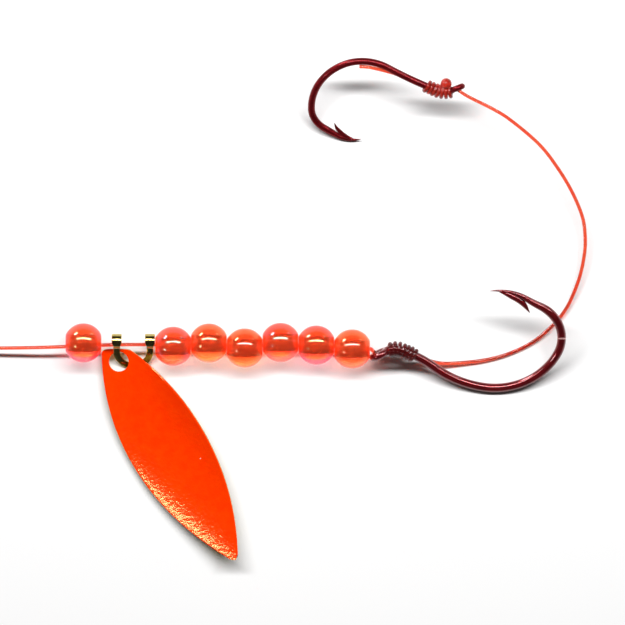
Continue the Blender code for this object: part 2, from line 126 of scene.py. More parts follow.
def path_frames(places, looped=False):
    """A tangent, a side and an up vector for each place of a path, carried along with no twist."""
    count = len(places)
    tangents = []
    for index in range(count):
        before = places[index - 1] if looped or index else places[0]
        after = places[(index + 1) % count] if looped or index < count - 1 else places[-1]
        tangents.append((after - before).normalized())
    lead = Vector((0, 0, 1)) if abs(tangents[0].z) < 0.9 else Vector((0, 1, 0))
    side = lead.cross(tangents[0]).normalized()
    frames = []
    for tangent in tangents:
        side = (side - tangent * side.dot(tangent)).normalized()
        frames.append((tangent, side, tangent.cross(side)))
    return frames


def swept(name, places, section, scales=None, looped=False):
    """A section of (across, up) points in mm carried along a path, scaled at each place if asked."""
    rings = []
    for index, (place, (_, side, up)) in enumerate(zip(places, path_frames(places, looped))):
        scale = scales[index] if scales else 1.0
        rings.append([place + side * (across * scale) + up * (rise * scale) for across, rise in section])
    return loft(name, rings, looped)


def round_section(radius, sides):
    return [polar(radius, 2 * math.pi * side / sides) for side in range(sides)]


def rounded_box_section(width, height, corner, steps=3):
    """A rectangle with rounded corners, as (across, up) points."""
    section = []
    for quarter, (side, level) in enumerate(((1, 1), (-1, 1), (-1, -1), (1, -1))):
        centre = Vector((side * (width / 2 - corner), level * (height / 2 - corner)))
        for step in range(steps + 1):
            section.append(centre + polar(corner, math.pi / 2 * (quarter + step / steps)))
    return section


def baked_mesh(obj):
    """Apply an object's modifiers to its mesh."""
    bpy.context.view_layer.update()
    evaluated = obj.evaluated_get(bpy.context.evaluated_depsgraph_get())
    mesh = bpy.data.meshes.new_from_object(evaluated)
    obj.modifiers.clear()
    obj.data = mesh
    return obj


def combine(base, tools, operation):
    for tool in tools:
        modifier = base.modifiers.new(operation.title(), "BOOLEAN")
        modifier.operation = operation
        modifier.solver = "EXACT"
        modifier.object = tool
        baked_mesh(base)
        bpy.data.objects.remove(tool, do_unlink=True)
    return base


def smooth(obj, angle=35):
    obj.data.shade_smooth()
    obj.data.set_sharp_from_angle(angle=math.radians(angle))
    return obj


def line_curve(name, places, radius=LINE_R):
    """A length of round line through places in mm."""
    curve = bpy.data.curves.new(name, "CURVE")
    curve.dimensions = "3D"
    curve.bevel_depth = radius * MM
    curve.bevel_resolution = 3
    curve.use_fill_caps = True
    spline = curve.splines.new("POLY")
    spline.points.add(len(places) - 1)
    for index, place in enumerate(places):
        spline.points[index].co = (*point(place), 1.0)
    spline.use_smooth = True
    return add_object(name, curve)


def smooth_route(controls, steps=8):
    """A smooth curve through the control points, with the given steps between each pair."""
    places = [Vector(control) for control in controls]
    places = [places[0] * 2 - places[1], *places, places[-1] * 2 - places[-2]]
    route = []
    for before, start, end, after in zip(places, places[1:], places[2:], places[3:]):
        for step in range(steps):
            t = step / steps
            route.append(0.5 * (2 * start + (end - before) * t
                                + (2 * before - 5 * start + 4 * end - after) * t ** 2
                                + (3 * start - before - 3 * end + after) * t ** 3))
    route.append(places[-2])
    return route


def show(obj, material, body, replaces=()):
    """Settle a piece's place into its mesh, and give it its material and the body that it rides on."""
    bpy.context.view_layer.update()
    obj.data.transform(obj.matrix_world)
    obj.matrix_world = Matrix.Identity(4)
    if not obj.data.materials:
        obj.data.materials.append(material)
    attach(obj, body)
    if replaces:
        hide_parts(*replaces)
    return obj


# ---- camera, floor and light ----

def add_camera(view_width=78.125, distance=2500.0, middle=(-1.775, -0.531), focus_height=2.3):
    camera = bpy.data.cameras.new("camera")
    camera.sensor_width = 36.0
    camera.lens = camera.sensor_width * distance / view_width
    camera.clip_start = 0.1
    camera.clip_end = 20.0
    holder = add_object("camera", camera)
    holder.location = point((*middle, distance + focus_height))
    bpy.context.scene.camera = holder


def add_area_light(name, zenith, azimuth, distance, size, power):
    """A rectangular lamp that faces the rig's middle; its distance and size are in metres."""
    lamp = bpy.data.lights.new(name, "AREA")
    lamp.shape = "RECTANGLE"
    lamp.size, lamp.size_y = size
    lamp.energy = power
    holder = add_object(name, lamp)
    tilt, turn = math.radians(zenith), math.radians(azimuth)
    out = Vector((math.sin(tilt) * math.cos(turn), math.sin(tilt) * math.sin(turn), math.cos(tilt)))
    holder.location = out * distance
    holder.rotation_euler = out.to_track_quat("Z", "Y").to_euler()
    return holder


def add_world():
    """Bright low down and darker overhead, as in a white-walled room with a plain ceiling."""
    world = bpy.data.worlds.new("room")
    world.use_nodes = True
    tree = world.node_tree
    background = tree.nodes["Background"]
    direction = add_node(tree, "ShaderNodeTexCoord").outputs["Generated"]
    parts = add_node(tree, "ShaderNodeSeparateXYZ", {"Vector": direction})
    shade = ramp(tree, parts.outputs["Z"], ((0.0, (0.3, 0.28, 0.27)), (0.12, (0.16, 0.15, 0.145)),
                                            (0.4, (0.03, 0.029, 0.028)), (1.0, (0.02, 0.02, 0.02))))
    tree.links.new(shade, background.inputs["Color"])
    background.inputs["Strength"].default_value = 1.0
    bpy.context.scene.world = world


def add_floor(size=12.0):
    """A square of plain white paper, its size in metres."""
    bm = bmesh.new()
    bmesh.ops.create_grid(bm, x_segments=1, y_segments=1, size=size / 2)
    mesh = bpy.data.meshes.new("floor")
    bm.to_mesh(mesh)
    bm.free()
    floor = add_object("floor", mesh)
    material, _, shader = new_material("white_paper")
    shader.inputs["Base Color"].default_value = (0.86, 0.86, 0.86, 1.0)
    shader.inputs["Roughness"].default_value = 0.9
    shader.inputs["Specular IOR Level"].default_value = 0.1
    mesh.materials.append(material)
    return floor


# The strip lamp's zenith angle, azimuth and distance in metres, shared by the lamps that give glints.
STRIP_PLACE = (26.0, 90.0, 0.32)
STRIP_SIZE = (0.47, 0.036)
STRIP_POWER = 1.9
# The clear beads let this share of the strip lamp's light through to the floor.
CLEAR_SHARE = 0.36


def add_studio():
    bpy.context.scene.view_settings.view_transform = "Standard"
    add_world()
    floor = add_floor()
    strip = (*STRIP_PLACE, STRIP_SIZE)
    lamps = {
        "strip": add_area_light("strip_lamp", *strip, STRIP_POWER * (1 - CLEAR_SHARE)),
        "clear_strip": add_area_light("clear_strip_lamp", *strip, STRIP_POWER * CLEAR_SHARE),
        "bead_glint": add_area_light("bead_glint_lamp", *STRIP_PLACE, (0.6, 0.06), 1.7),
        "shank_glint": add_area_light("shank_glint_lamp", *STRIP_PLACE, (1.1, 0.03), 2.6),
        "left": add_area_light("left_lamp", 74.0, 132.0, 0.6, (0.17, 0.11), 2.0),
        "right": add_area_light("right_lamp", 74.0, 48.0, 0.6, (0.1, 0.06), 0.2),
        "low_left": add_area_light("low_left_lamp", 54.0, 204.0, 0.6, (0.1, 0.06), 0.5),
    }
    return floor, lamps


def link_light(lamp, kind, pieces, state):
    """Include only these pieces, or exclude just them, as the pieces that a lamp lights or that block it.

    The kind is receiver or blocker, and the state is INCLUDE or EXCLUDE.
    """
    group = bpy.data.collections.new(lamp.name + "_" + kind)
    for piece in pieces:
        group.objects.link(piece)
    for entry in group.collection_objects:
        entry.light_linking.link_state = state
    setattr(lamp.light_linking, kind + "_collection", group)


# ---- material helpers ----

def new_material(name):
    material = bpy.data.materials.new(name)
    material.use_nodes = True
    return material, material.node_tree, material.node_tree.nodes["Principled BSDF"]


def add_node(tree, kind, inputs=None, **settings):
    """A node with its settings; an input is a plain value, or a socket to link from."""
    node = tree.nodes.new(kind)
    for name, value in settings.items():
        setattr(node, name, value)
    for name, value in (inputs or {}).items():
        if isinstance(value, bpy.types.NodeSocket):
            tree.links.new(value, node.inputs[name])
        else:
            node.inputs[name].default_value = value
    return node


def object_coordinates(tree, stretch=(1.0, 1.0, 1.0)):
    places = add_node(tree, "ShaderNodeTexCoord").outputs["Object"]
    return add_node(tree, "ShaderNodeMapping", {"Vector": places, "Scale": stretch}).outputs["Vector"]


def noise(tree, places, feature, detail=3.0, distortion=0.0):
    """Noise whose lumps are about feature mm across."""
    inputs = {"Vector": places, "Scale": 1 / (feature * MM), "Detail": detail, "Distortion": distortion}
    return add_node(tree, "ShaderNodeTexNoise", inputs).outputs["Fac"]


def ramp(tree, factor, stops):
    """A colour ramp from (position, colour) stops, where a colour is three numbers or a grey."""
    node = add_node(tree, "ShaderNodeValToRGB", {"Fac": factor})
    elements = node.color_ramp.elements
    while len(elements) < len(stops):
        elements.new(0.5)
    for element, (position, color) in zip(elements, stops):
        element.position = position
        element.color = (*color, 1.0) if isinstance(color, tuple) else (color, color, color, 1.0)
    return node.outputs["Color"]


def bump(tree, height, depth):
    """A bump of depth mm."""
    inputs = {"Height": height, "Distance": depth * MM, "Strength": 1.0}
    return add_node(tree, "ShaderNodeBump", inputs).outputs["Normal"]


def vector_math(tree, operation, first, second=None):
    inputs = {0: first} if second is None else {0: first, 1: second}
    node = add_node(tree, "ShaderNodeVectorMath", inputs, operation=operation)
    return node.outputs["Value" if operation in ("DOT_PRODUCT", "LENGTH") else "Vector"]


def mix_colors(tree, share, first, second):
    """The first colour where share is 0 and the second where it is 1; each is a socket or three numbers."""
    node = add_node(tree, "ShaderNodeMix", {"Factor": share}, data_type="RGBA")
    for name, color in (("A", first), ("B", second)):
        socket = [entry for entry in node.inputs if entry.name == name and entry.type == "RGBA"][0]
        if isinstance(color, bpy.types.NodeSocket):
            tree.links.new(color, socket)
        else:
            socket.default_value = (*color, 1.0)
    return [entry for entry in node.outputs if entry.type == "RGBA"][0]


def set_shader(shader, **values):
    for name, value in values.items():
        shader.inputs[name.replace("_", " ")].default_value = value


# ---- materials ----

# How strongly the beads glow of themselves: painted light standing in for lamp light passing through them.
PAINTED_GLOW = 0.15
# The side on which the beads show a brighter crescent, partly their film's tint and partly painted light
# passing through them: outward along -Y and a little downward.
PEARL_AND_GLOW_SIDE = (0.0, -0.9, -0.43)
# The pale narrow mark on the front hook: its place, and what distances from it along X, Y and Z are
# multiplied by, so that it is narrow along Y.
PALE_MARK_PLACE = (29.4, -3.79, 4.2)
PALE_MARK_NARROWING = (0.7, 4.0, 0.4)


def bead_material(name, node, film, pearl_and_glow):
    """Clear dyed plastic with a pearly film, and a brighter crescent on one side that is partly the film's
    tint and partly painted light; film is the film's thickness in nanometres.
    """
    material, tree, shader = new_material(name)
    places = object_coordinates(tree, (0.5, 1.0, 1.0))
    swirl = noise(tree, places, 1.6, 2.0, 0.8)
    dye = ramp(tree, swirl, ((0.3, (1.0, 0.075, 0.02)), (0.7, (1.0, 0.12, 0.035))))
    middle = box_middle(node) * MM
    outward = vector_math(tree, "SUBTRACT", add_node(tree, "ShaderNodeTexCoord").outputs["Object"], middle)
    outward = vector_math(tree, "NORMALIZE", outward)
    facing = vector_math(tree, "DOT_PRODUCT", outward, PEARL_AND_GLOW_SIDE)
    # The crescent is partly the film's tint and partly painted light: lamp light focused through the bead,
    # painted on its far side.
    pearl_and_glow_patch = ramp(tree, facing, ((0.3, 0.0), (0.46, 1.0)))
    tree.links.new(mix_colors(tree, pearl_and_glow_patch, dye, pearl_and_glow), shader.inputs["Base Color"])
    tree.links.new(ramp(tree, pearl_and_glow_patch, ((0.0, 0.86), (1.0, 0.52))), shader.inputs["Transmission Weight"])
    grain = noise(tree, object_coordinates(tree), 0.35, 2.0)
    tree.links.new(ramp(tree, grain, ((0.35, 0.03), (0.75, 0.07))), shader.inputs["Roughness"])
    tree.links.new(bump(tree, noise(tree, places, 0.9, 1.0), 0.012), shader.inputs["Normal"])
    # The emission is painted light: a glow in the dye's colour standing in for lamp light passing through the
    # bead.
    set_shader(shader, IOR=1.45, Thin_Film_Thickness=film, Thin_Film_IOR=1.6,
               Specular_Tint=(1.0, 0.9, 0.8, 1.0), Emission_Strength=PAINTED_GLOW,
               Emission_Color=(1.0, 0.075, 0.018, 1.0))
    return material


def bore_material(name, middle, half_length):
    """The bead's drilled bore: unpolished, with painted shade making it deep red halfway through and painted
    light making it bright towards its ends.
    """
    material, tree, shader = new_material(name)
    places = add_node(tree, "ShaderNodeTexCoord").outputs["Object"]
    off_middle = vector_math(tree, "SUBTRACT", places, middle * MM)
    off_middle = vector_math(tree, "MULTIPLY", off_middle, Vector((1.0, 0.0, 0.0)) / (half_length * MM))
    # Painted shade and light: the bore is dark red in its middle as painted shade and turns bright towards
    # its ends as painted light.
    end = ramp(tree, vector_math(tree, "LENGTH", off_middle), ((0.5, 0.0), (0.95, 1.0)))
    grain = noise(tree, object_coordinates(tree, (0.3, 1.0, 1.0)), 0.25, 3.0)
    deep = ramp(tree, grain, ((0.3, (0.05, 0.002, 0.002)), (0.7, (0.13, 0.006, 0.003))))
    tree.links.new(mix_colors(tree, end, deep, (1.0, 0.1, 0.02)), shader.inputs["Base Color"])
    tree.links.new(ramp(tree, grain, ((0.3, 0.35), (0.7, 0.55))), shader.inputs["Roughness"])
    return material


def line_material(name, pale, deep, transmission=0.9):
    """Drawn nylon: faint lengthwise variation in dye and gloss."""
    material, tree, shader = new_material(name)
    places = object_coordinates(tree)
    tone = noise(tree, places, 2.2, 3.0)
    tree.links.new(ramp(tree, tone, ((0.3, deep), (0.7, pale))), shader.inputs["Base Color"])
    fine = noise(tree, places, 0.12, 3.0)
    tree.links.new(ramp(tree, fine, ((0.3, 0.07), (0.7, 0.16))), shader.inputs["Roughness"])
    tree.links.new(bump(tree, fine, 0.004), shader.inputs["Normal"])
    set_shader(shader, IOR=1.5, Transmission_Weight=transmission)
    return material


def hook_material(name, base, sheen, gloss, coat, pale_mark=None):
    """Dark red lacquer over bright steel, streaked and pitted, with a pale narrow mark on it if a place is
    given.
    """
    material, tree, shader = new_material(name)
    places = object_coordinates(tree)
    tone = noise(tree, places, 1.3, 4.0, 0.4)
    color = ramp(tree, tone, ((0.35, base), (0.7, sheen)))
    if pale_mark:
        away = vector_math(tree, "SUBTRACT", places, point(pale_mark))
        away = vector_math(tree, "MULTIPLY", away, Vector(PALE_MARK_NARROWING) / MM)
        mark = ramp(tree, vector_math(tree, "LENGTH", away), ((0.3, 1.0), (0.48, 0.0)))
        color = mix_colors(tree, mark, color, (0.75, 0.42, 0.4))
    tree.links.new(color, shader.inputs["Base Color"])
    fine = noise(tree, places, 0.1, 3.0)
    tree.links.new(ramp(tree, fine, ((0.3, gloss), (0.75, gloss * 1.8))), shader.inputs["Roughness"])
    tree.links.new(bump(tree, noise(tree, places, 0.45, 3.0), 0.008), shader.inputs["Normal"])
    set_shader(shader, Metallic=0.6, Specular_Tint=(0.6, 0.12, 0.14, 1.0),
               Coat_Weight=coat, Coat_Roughness=0.04)
    return material


def brass_material():
    material, tree, shader = new_material("brass")
    places = object_coordinates(tree)
    tone = noise(tree, places, 0.8, 4.0)
    tree.links.new(ramp(tree, tone, ((0.3, (0.42, 0.31, 0.08)), (0.7, (0.7, 0.58, 0.22)))),
                   shader.inputs["Base Color"])
    fine = noise(tree, object_coordinates(tree, (1.0, 6.0, 6.0)), 0.25, 3.0)
    tree.links.new(ramp(tree, fine, ((0.3, 0.1), (0.75, 0.22))), shader.inputs["Roughness"])
    tree.links.new(bump(tree, fine, 0.004), shader.inputs["Normal"])
    set_shader(shader, Metallic=1.0)
    return material


def paint_material():
    """Fluorescent orange paint with orange peel, faint mottling and a few pale dust specks."""
    material, tree, shader = new_material("blade_paint")
    places = object_coordinates(tree)
    mottle = noise(tree, places, 1.1, 5.0)
    orange = ramp(tree, mottle, ((0.3, (0.97, 0.034, 0.0)), (0.7, (1.0, 0.046, 0.0))))
    cells = add_node(tree, "ShaderNodeTexVoronoi", {"Vector": places, "Scale": 1 / (1.7 * MM)})
    speck = ramp(tree, cells.outputs["Distance"], ((0.035, 1.0), (0.06, 0.0)))
    chance = ramp(tree, cells.outputs["Color"], ((0.78, 0.0), (0.8, 1.0)))
    where = add_node(tree, "ShaderNodeMath", {0: speck, 1: chance}, operation="MULTIPLY").outputs[0]
    tree.links.new(mix_colors(tree, where, orange, (1.0, 0.55, 0.42)), shader.inputs["Base Color"])
    peel = noise(tree, places, 0.42, 2.0)
    tree.links.new(ramp(tree, peel, ((0.3, 0.1), (0.7, 0.17))), shader.inputs["Roughness"])
    tree.links.new(bump(tree, peel, 0.036), shader.inputs["Normal"])
    set_shader(shader, Specular_Tint=(1.0, 0.74, 0.3, 1.0))
    return material


def tie_material():
    material, tree, shader = new_material("tie_plastic")
    places = object_coordinates(tree)
    tone = noise(tree, places, 0.9, 4.0)
    tree.links.new(ramp(tree, tone, ((0.3, (0.74, 0.74, 0.7)), (0.7, (0.86, 0.86, 0.83)))),
                   shader.inputs["Base Color"])
    tree.links.new(ramp(tree, tone, ((0.3, 0.4), (0.7, 0.55))), shader.inputs["Roughness"])
    tree.links.new(bump(tree, noise(tree, places, 0.1, 3.0), 0.01), shader.inputs["Normal"])
    return material


# ---- leader: a straight run, its coil, the knot, the end loop and the tie ----

LEADER_LENGTH = 900.0
COIL_LAYERS = 4
COIL_COLUMNS = 9
COIL_PITCH = 0.46
# The share of a turn over which the line steps down to the next layer.
COIL_SETTLING = 0.3
COIL_EXTRA_TURN = 0.25
COIL_X = -47.9
LEADER_IN_Y = -4.98
LEADER_RUN = 15.0
LEADER_TAIL = 5.5
COIL_TURNS = COIL_LAYERS * COIL_COLUMNS + COIL_EXTRA_TURN
COIL_MEAN_RADIUS = (LEADER_LENGTH - LEADER_RUN - LEADER_TAIL) / (2 * math.pi * COIL_TURNS)
COIL_LAST_RADIUS = COIL_MEAN_RADIUS + (COIL_COLUMNS - 1) / 2 * COIL_PITCH
COIL_Y = LEADER_IN_Y - COIL_LAST_RADIUS
COIL_TOP_TURN_Z = COIL_LAYERS * LINE_D - LINE_R
COIL_HALF_BUNDLE = COIL_COLUMNS / 2 * COIL_PITCH
KNOT_LENGTH = 1.8
KNOT_RADIUS = 0.55
LOOP_LENGTH = 7.0
LOOP_HALF_WIDTH = 1.7
# The loop's two strands inside the knot: how far each is off the middle, and how far in they reach.
STRAND_OFFSET = 0.12
STRAND_REACH = 0.9
LOOP_Z = LINE_R + 0.02
TIE_THICK = 0.2
TIE_CLEARANCE = 0.22
TIE_WIDTH = 0.8


def coil_place(turn):
    """A point of the coil, wound from its top outside turn to its bottom outside turn."""
    layer = min(int(turn / COIL_COLUMNS), COIL_LAYERS - 1)
    inside = turn - layer * COIL_COLUMNS
    column = min(max(inside - 0.5, 0.0), COIL_COLUMNS - 1.0)
    if layer % 2:
        column = COIL_COLUMNS - 1.0 - column
    radius = COIL_LAST_RADIUS - column * COIL_PITCH
    settling = max(0.0, 1.0 - inside / COIL_SETTLING) if layer else 0.0
    height = COIL_TOP_TURN_Z - (layer - settling) * LINE_D
    side = polar(radius, math.pi / 2 + 2 * math.pi * turn)
    return Vector((COIL_X + side.x, COIL_Y + side.y, height))


def leader_places(steps_per_turn=24):
    run = smooth_route((
        LEADER_EXIT, (-35.5, -4.89, LINE_Z - 0.08), (-40.0, -4.97, LINE_Z - 0.4),
        (-44.5, LEADER_IN_Y, COIL_TOP_TURN_Z),
    ))
    coil = [coil_place(step / steps_per_turn) for step in range(round(COIL_TURNS * steps_per_turn) + 1)]
    tail_x = COIL_X - COIL_LAST_RADIUS
    knot_y = COIL_Y - LEADER_TAIL
    tail = smooth_route((
        (tail_x, COIL_Y - 1.2, LINE_R), (tail_x, COIL_Y - 3.4, LINE_R + 0.05), (tail_x, knot_y, LINE_R + 0.2),
        (tail_x, knot_y - 0.4, KNOT_RADIUS),
    ), 4)
    return run + coil + tail


def knot_places(x, y, wraps=4, steps=20):
    """The knot's wraps round its own two strands."""
    count = wraps * steps
    places = []
    for step in range(count + 1):
        side = polar(KNOT_RADIUS - LINE_R, 2 * math.pi * step / steps)
        along = y - LINE_R - (KNOT_LENGTH - LINE_D) * step / count
        places.append((x + side.x, along, KNOT_RADIUS + side.y))
    return places


def loop_places(x, y):
    """The end loop lying flat, both ends side by side in the knot."""
    reach = ((STRAND_OFFSET, 0.0), (0.45, 0.16), (LOOP_HALF_WIDTH * 0.8, 0.4), (LOOP_HALF_WIDTH, 0.68),
             (LOOP_HALF_WIDTH * 0.66, 0.93))
    left = [(x - across, y - along * LOOP_LENGTH, LOOP_Z) for across, along in reach]
    right = [(x + across, y - along * LOOP_LENGTH, LOOP_Z) for across, along in reversed(reach)]
    first_strand = (x - STRAND_OFFSET, y + STRAND_REACH, KNOT_RADIUS)
    last_strand = (x + STRAND_OFFSET, y + STRAND_REACH, KNOT_RADIUS)
    tip = (x, y - LOOP_LENGTH, LOOP_Z)
    return smooth_route((first_strand, *left, tip, *right, last_strand))


def add_leader(nylon, tie_plastic):
    knot_x = COIL_X - COIL_LAST_RADIUS
    knot_y = COIL_Y - LEADER_TAIL
    leader = show(line_curve("leader", leader_places()), nylon, "line",
                  ("leader_line", "leader_coil", "leader_tail"))
    knot = show(line_curve("leader_end_knot", knot_places(knot_x, knot_y)), nylon, "line",
                ("leader_knot",))
    loop = show(line_curve("leader_end_loop", loop_places(knot_x, knot_y - KNOT_LENGTH)), nylon, "line",
                ("leader_loop",))
    tie = add_tie(tie_plastic)


def add_tie(material):
    """A springy clip over the coil's bundle, its lips turned in a little at the floor."""
    middle = COIL_Y - COIL_MEAN_RADIUS
    half = COIL_HALF_BUNDLE + TIE_CLEARANCE
    top = COIL_LAYERS * LINE_D + TIE_CLEARANCE
    corner = 0.45
    outline = [(half - 0.06, 0.13), (half, 0.3)]
    for step in range(9):
        turn = polar(corner, math.pi / 2 * step / 8)
        outline.append((half - corner + turn.x, top - corner + turn.y))
    outline += [(-across, up) for across, up in reversed(outline)]
    places = [Vector((COIL_X, middle + across, up)) for across, up in outline]
    tie = swept("coil_clip", places, rounded_box_section(TIE_THICK, TIE_WIDTH, 0.07))
    return show(smooth(tie), material, "line", ("coil_tie",))


# ---- hooks ----

# Each hook lies in its own XY plane with the eye at the origin and its point on the +Y side.
# An arc is (length, turn in degrees), from the eye along the shank and round to the point.
# A barb is a curved sliver raised from the wire: (distance back from the point, distance inward from
# the wire's middle, radius).  The spear is the length over which the wire is ground to its point.
FRONT_HOOK = {
    "wire": 1.1,
    "eye": 0.92,
    "eye_lean": 9,
    "heading": 27.5,
    "arcs": ((2.05, -49), (4.65, -18), (6.85, 30), (11.1, 73), (7.75, 88.8), (1.95, -7), (4.9, 41.8)),
    "spear": 8.0,
    "barb": ((1.25, 0.05, 0.19), (2.7, 0.43, 0.38), (4.0, 0.63, 0.41), (5.1, 0.87, 0.33), (6.15, 1.42, 0.04)),
    "snell": (0.35, 3.65),
}
REAR_HOOK = {
    "wire": 0.88,
    "eye": 0.65,
    "eye_lean": 0,
    "heading": 24.5,
    "arcs": ((2.2, -50), (6.65, -8), (5.8, 57), (8.35, 64), (3.27, 57.2), (1.98, 1.3), (3.15, 48)),
    "spear": 4.5,
    "barb": ((1.2, 0.05, 0.2), (2.3, 0.4, 0.27), (3.35, 0.72, 0.25), (3.9, 0.96, 0.18), (4.4, 1.37, 0.04)),
    "snell": (0.2, 3.5),
}
EYE_WIRE_SHARE = 0.86
# The ground point tapers by this power of the distance from its end, down to a blunt share of the wire.
SPEAR_POWER = 0.7
BLUNT_SHARE = 0.04
TAG_LENGTH = 9.0
# The tag starts this far past the last wrap, and lies this far off the wire.
TAG_START_GAP = 0.1
TAG_WIRE_GAP = 0.02
# Where the cut end of the line lies round the rear shank: (share of its length, degrees from the inside).
TAG_TURNS = ((0.0, -45), (0.4, -40), (0.6, -8), (0.8, 33), (1.0, 18))


def hook_line(hook, step=0.18):
    """The wire's centre line: (place, heading in radians, distance along it)."""
    heading = math.radians(hook["heading"])
    place = heading_vector(heading) * hook["eye"]
    stations = [(place.copy(), heading, 0.0)]
    travelled = 0.0
    for length, turn in hook["arcs"]:
        count = round(length / step)
        for _ in range(count):
            half_turn = math.radians(turn) / count / 2
            heading += half_turn
            place += heading_vector(heading) * (length / count)
            heading += half_turn
            travelled += length / count
            stations.append((place.copy(), heading, travelled))
    return stations


def place_along(stations, travelled):
    """The place on the wire's centre line at a distance along it, and the inward direction there."""
    for (start, heading, before), (end, next_heading, after) in zip(stations, stations[1:]):
        if travelled <= after:
            break
    share = (travelled - before) / (after - before)
    heading += (next_heading - heading) * share
    return start.lerp(end, share), Vector((-math.sin(heading), math.cos(heading), 0.0))


def hook_wire(name, hook):
    """The bent wire: full along the shank, ground to a point at the end."""
    stations = hook_line(hook)
    total = stations[-1][2]
    scales = []
    for _, _, travelled in stations:
        share = (total - travelled) / hook["spear"]
        scales.append(max(BLUNT_SHARE, min(1.0, share ** SPEAR_POWER)))
    return swept(name, [place for place, _, _ in stations], round_section(hook["wire"] / 2, 20), scales)


def hook_eye(hook, rotation, steps=40):
    """The eye's ring, which holds the shank's direction and is upright, or leans a little, once in place."""
    heading = math.radians(hook["heading"])
    outward = heading_vector(heading)
    upright = Euler(rotation).to_matrix().transposed() @ Vector((0.0, 0.0, 1.0))
    upright = (upright - outward * upright.dot(outward)).normalized()
    upright += outward.cross(upright) * math.tan(math.radians(hook["eye_lean"]))
    ring = []
    for step in range(steps):
        side = polar(hook["eye"], 2 * math.pi * (step + 0.5) / steps)
        ring.append(outward * side.x + upright * side.y)
    return swept("eye", ring, round_section(hook["wire"] / 2 * EYE_WIRE_SHARE, 14), looped=True)


def hook_barb(hook):
    stations = hook_line(hook)
    total = stations[-1][2]
    places, radii = [], []
    for setback, inward, radius in smooth_route(hook["barb"], 5):
        place, direction = place_along(stations, total - setback)
        places.append(place + direction * inward)
        radii.append(radius)
    return swept("barb", places, round_section(1.0, 16), radii)


def place_on_hook(obj, location, rotation):
    """Move a piece made in a hook's own plane to where that hook lies."""
    obj.location = point(location)
    obj.rotation_euler = Euler(radians(rotation))
    return obj


def add_hook(name, hook, location, rotation, material, node):
    tools = (hook_eye(hook, radians(rotation)), hook_barb(hook))
    wire = combine(hook_wire(name, hook), tools, "UNION")
    place_on_hook(wire, location, rotation)
    return show(smooth(wire, 50), material, node, (node,))


# The wraps are pulled tight, so that the line is a little flattened: wider along the shank, and with
# its middle closer to the wire than its radius.
WRAP_RADIUS = 0.25
WRAP_HEIGHT = 0.19


def snell_places(hook, wraps, lumps, steps=24):
    """The line's wraps round the shank, from the end away from the eye; lumps raise single wraps."""
    stations = hook_line(hook)
    first, last = hook["snell"]
    count = round(wraps * steps)
    places = []
    for step in range(count + 1):
        turn = step / steps
        travelled = last - (last - first) * step / count
        middle, inward = place_along(stations, travelled)
        lump = lumps[min(int(turn), len(lumps) - 1)]
        angle = 2 * math.pi * turn
        reach = hook["wire"] / 2 + WRAP_HEIGHT + lump * (1 + math.cos(angle)) / 2
        places.append(middle + inward * (reach * math.cos(angle)) + Vector((0, 0, reach * math.sin(angle))))
    return places


def add_snell(name, hook, location, rotation, material, body, node, wraps, lumps):
    snell = line_curve(name, snell_places(hook, wraps, lumps), WRAP_RADIUS)
    place_on_hook(snell, location, rotation)
    return show(snell, material, body, (node,))


def add_tag(name, hook, location, rotation, material, body, node):
    """The line's cut end: under the shank at the snell, and out on its inner side further on."""
    stations = hook_line(hook)
    first = hook["snell"][1] + TAG_START_GAP
    reach = hook["wire"] / 2 + LINE_R + TAG_WIRE_GAP
    turns = [(share * TAG_LENGTH, degrees, 0.0) for share, degrees in TAG_TURNS]
    places = []
    for travelled, degrees, _ in smooth_route(turns):
        middle, inward = place_along(stations, first + travelled)
        side = polar(reach, math.radians(degrees))
        places.append(middle + inward * side.x + Vector((0, 0, side.y)))
    tag = line_curve(name, places)
    place_on_hook(tag, location, rotation)
    return show(tag, material, body, (node,))


# The blob sits beside the wraps this far from their end by the eye, on a neck from further along, and
# is swept from behind its middle, through the neck, to just short of its far side, in radii.
BLOB_ALONG = 0.35
NECK_ALONG = 1.1
BLOB_START = -1.25
BLOB_SPAN = 2.24
BLOB_STEPS = 30
BLOB_TIP_RADIUS = 0.05


def add_melted_end(name, hook, location, rotation, material, body, radius=0.7):
    """The line's other cut end, melted to a blob that keeps it from slipping out of the wraps."""
    stations = hook_line(hook)
    middle, inward = place_along(stations, hook["snell"][0] + BLOB_ALONG)
    neck_end, _ = place_along(stations, hook["snell"][0] + NECK_ALONG)
    centre = middle - inward * (hook["wire"] / 2 + radius)
    direction = (centre - neck_end).normalized()
    places, radii = [], []
    for step in range(BLOB_STEPS + 1):
        along = BLOB_START * radius + BLOB_SPAN * radius * step / BLOB_STEPS
        ball = math.sqrt(max(0.0, 1 - (along / radius) ** 2)) * radius
        neck = LINE_R * min(1.0, (radius - along) / LINE_R)
        places.append(centre + direction * along)
        radii.append(max(ball, neck if along < 0 else BLOB_TIP_RADIUS))
    blob = swept(name, places, round_section(1.0, 28), radii)
    place_on_hook(blob, location, rotation)
    return show(smooth(blob, 60), material, body)


# ---- beads ----

BEAD_BORE_RADIUS = 0.8
# The beads are this much longer than the CAD's, which leaves a gap between them.
BEAD_TOUCH = 0.04
BEAD_LIP = 0.25
BEAD_LIP_STEPS = 4
# A face counts as the bore's when its middle is within this many bore radii of the axis.
BORE_FACE_REACH = 1.02
# Each bead's film thickness in nanometres, and the colour of its crescent, partly the film's tint and partly
# painted light.
ROSE = (1.0, 0.09, 0.2)
GOLD = (1.0, 0.24, 0.04)
CORAL = (1.0, 0.15, 0.08)
BEAD_FILMS = {
    "lead_bead": (430.0, ROSE), "spacer_bead_1": (400.0, CORAL), "spacer_bead_2": (300.0, GOLD),
    "spacer_bead_3": (310.0, GOLD), "spacer_bead_4": (400.0, CORAL), "spacer_bead_5": (430.0, ROSE),
    "spacer_bead_6": (310.0, CORAL),
}


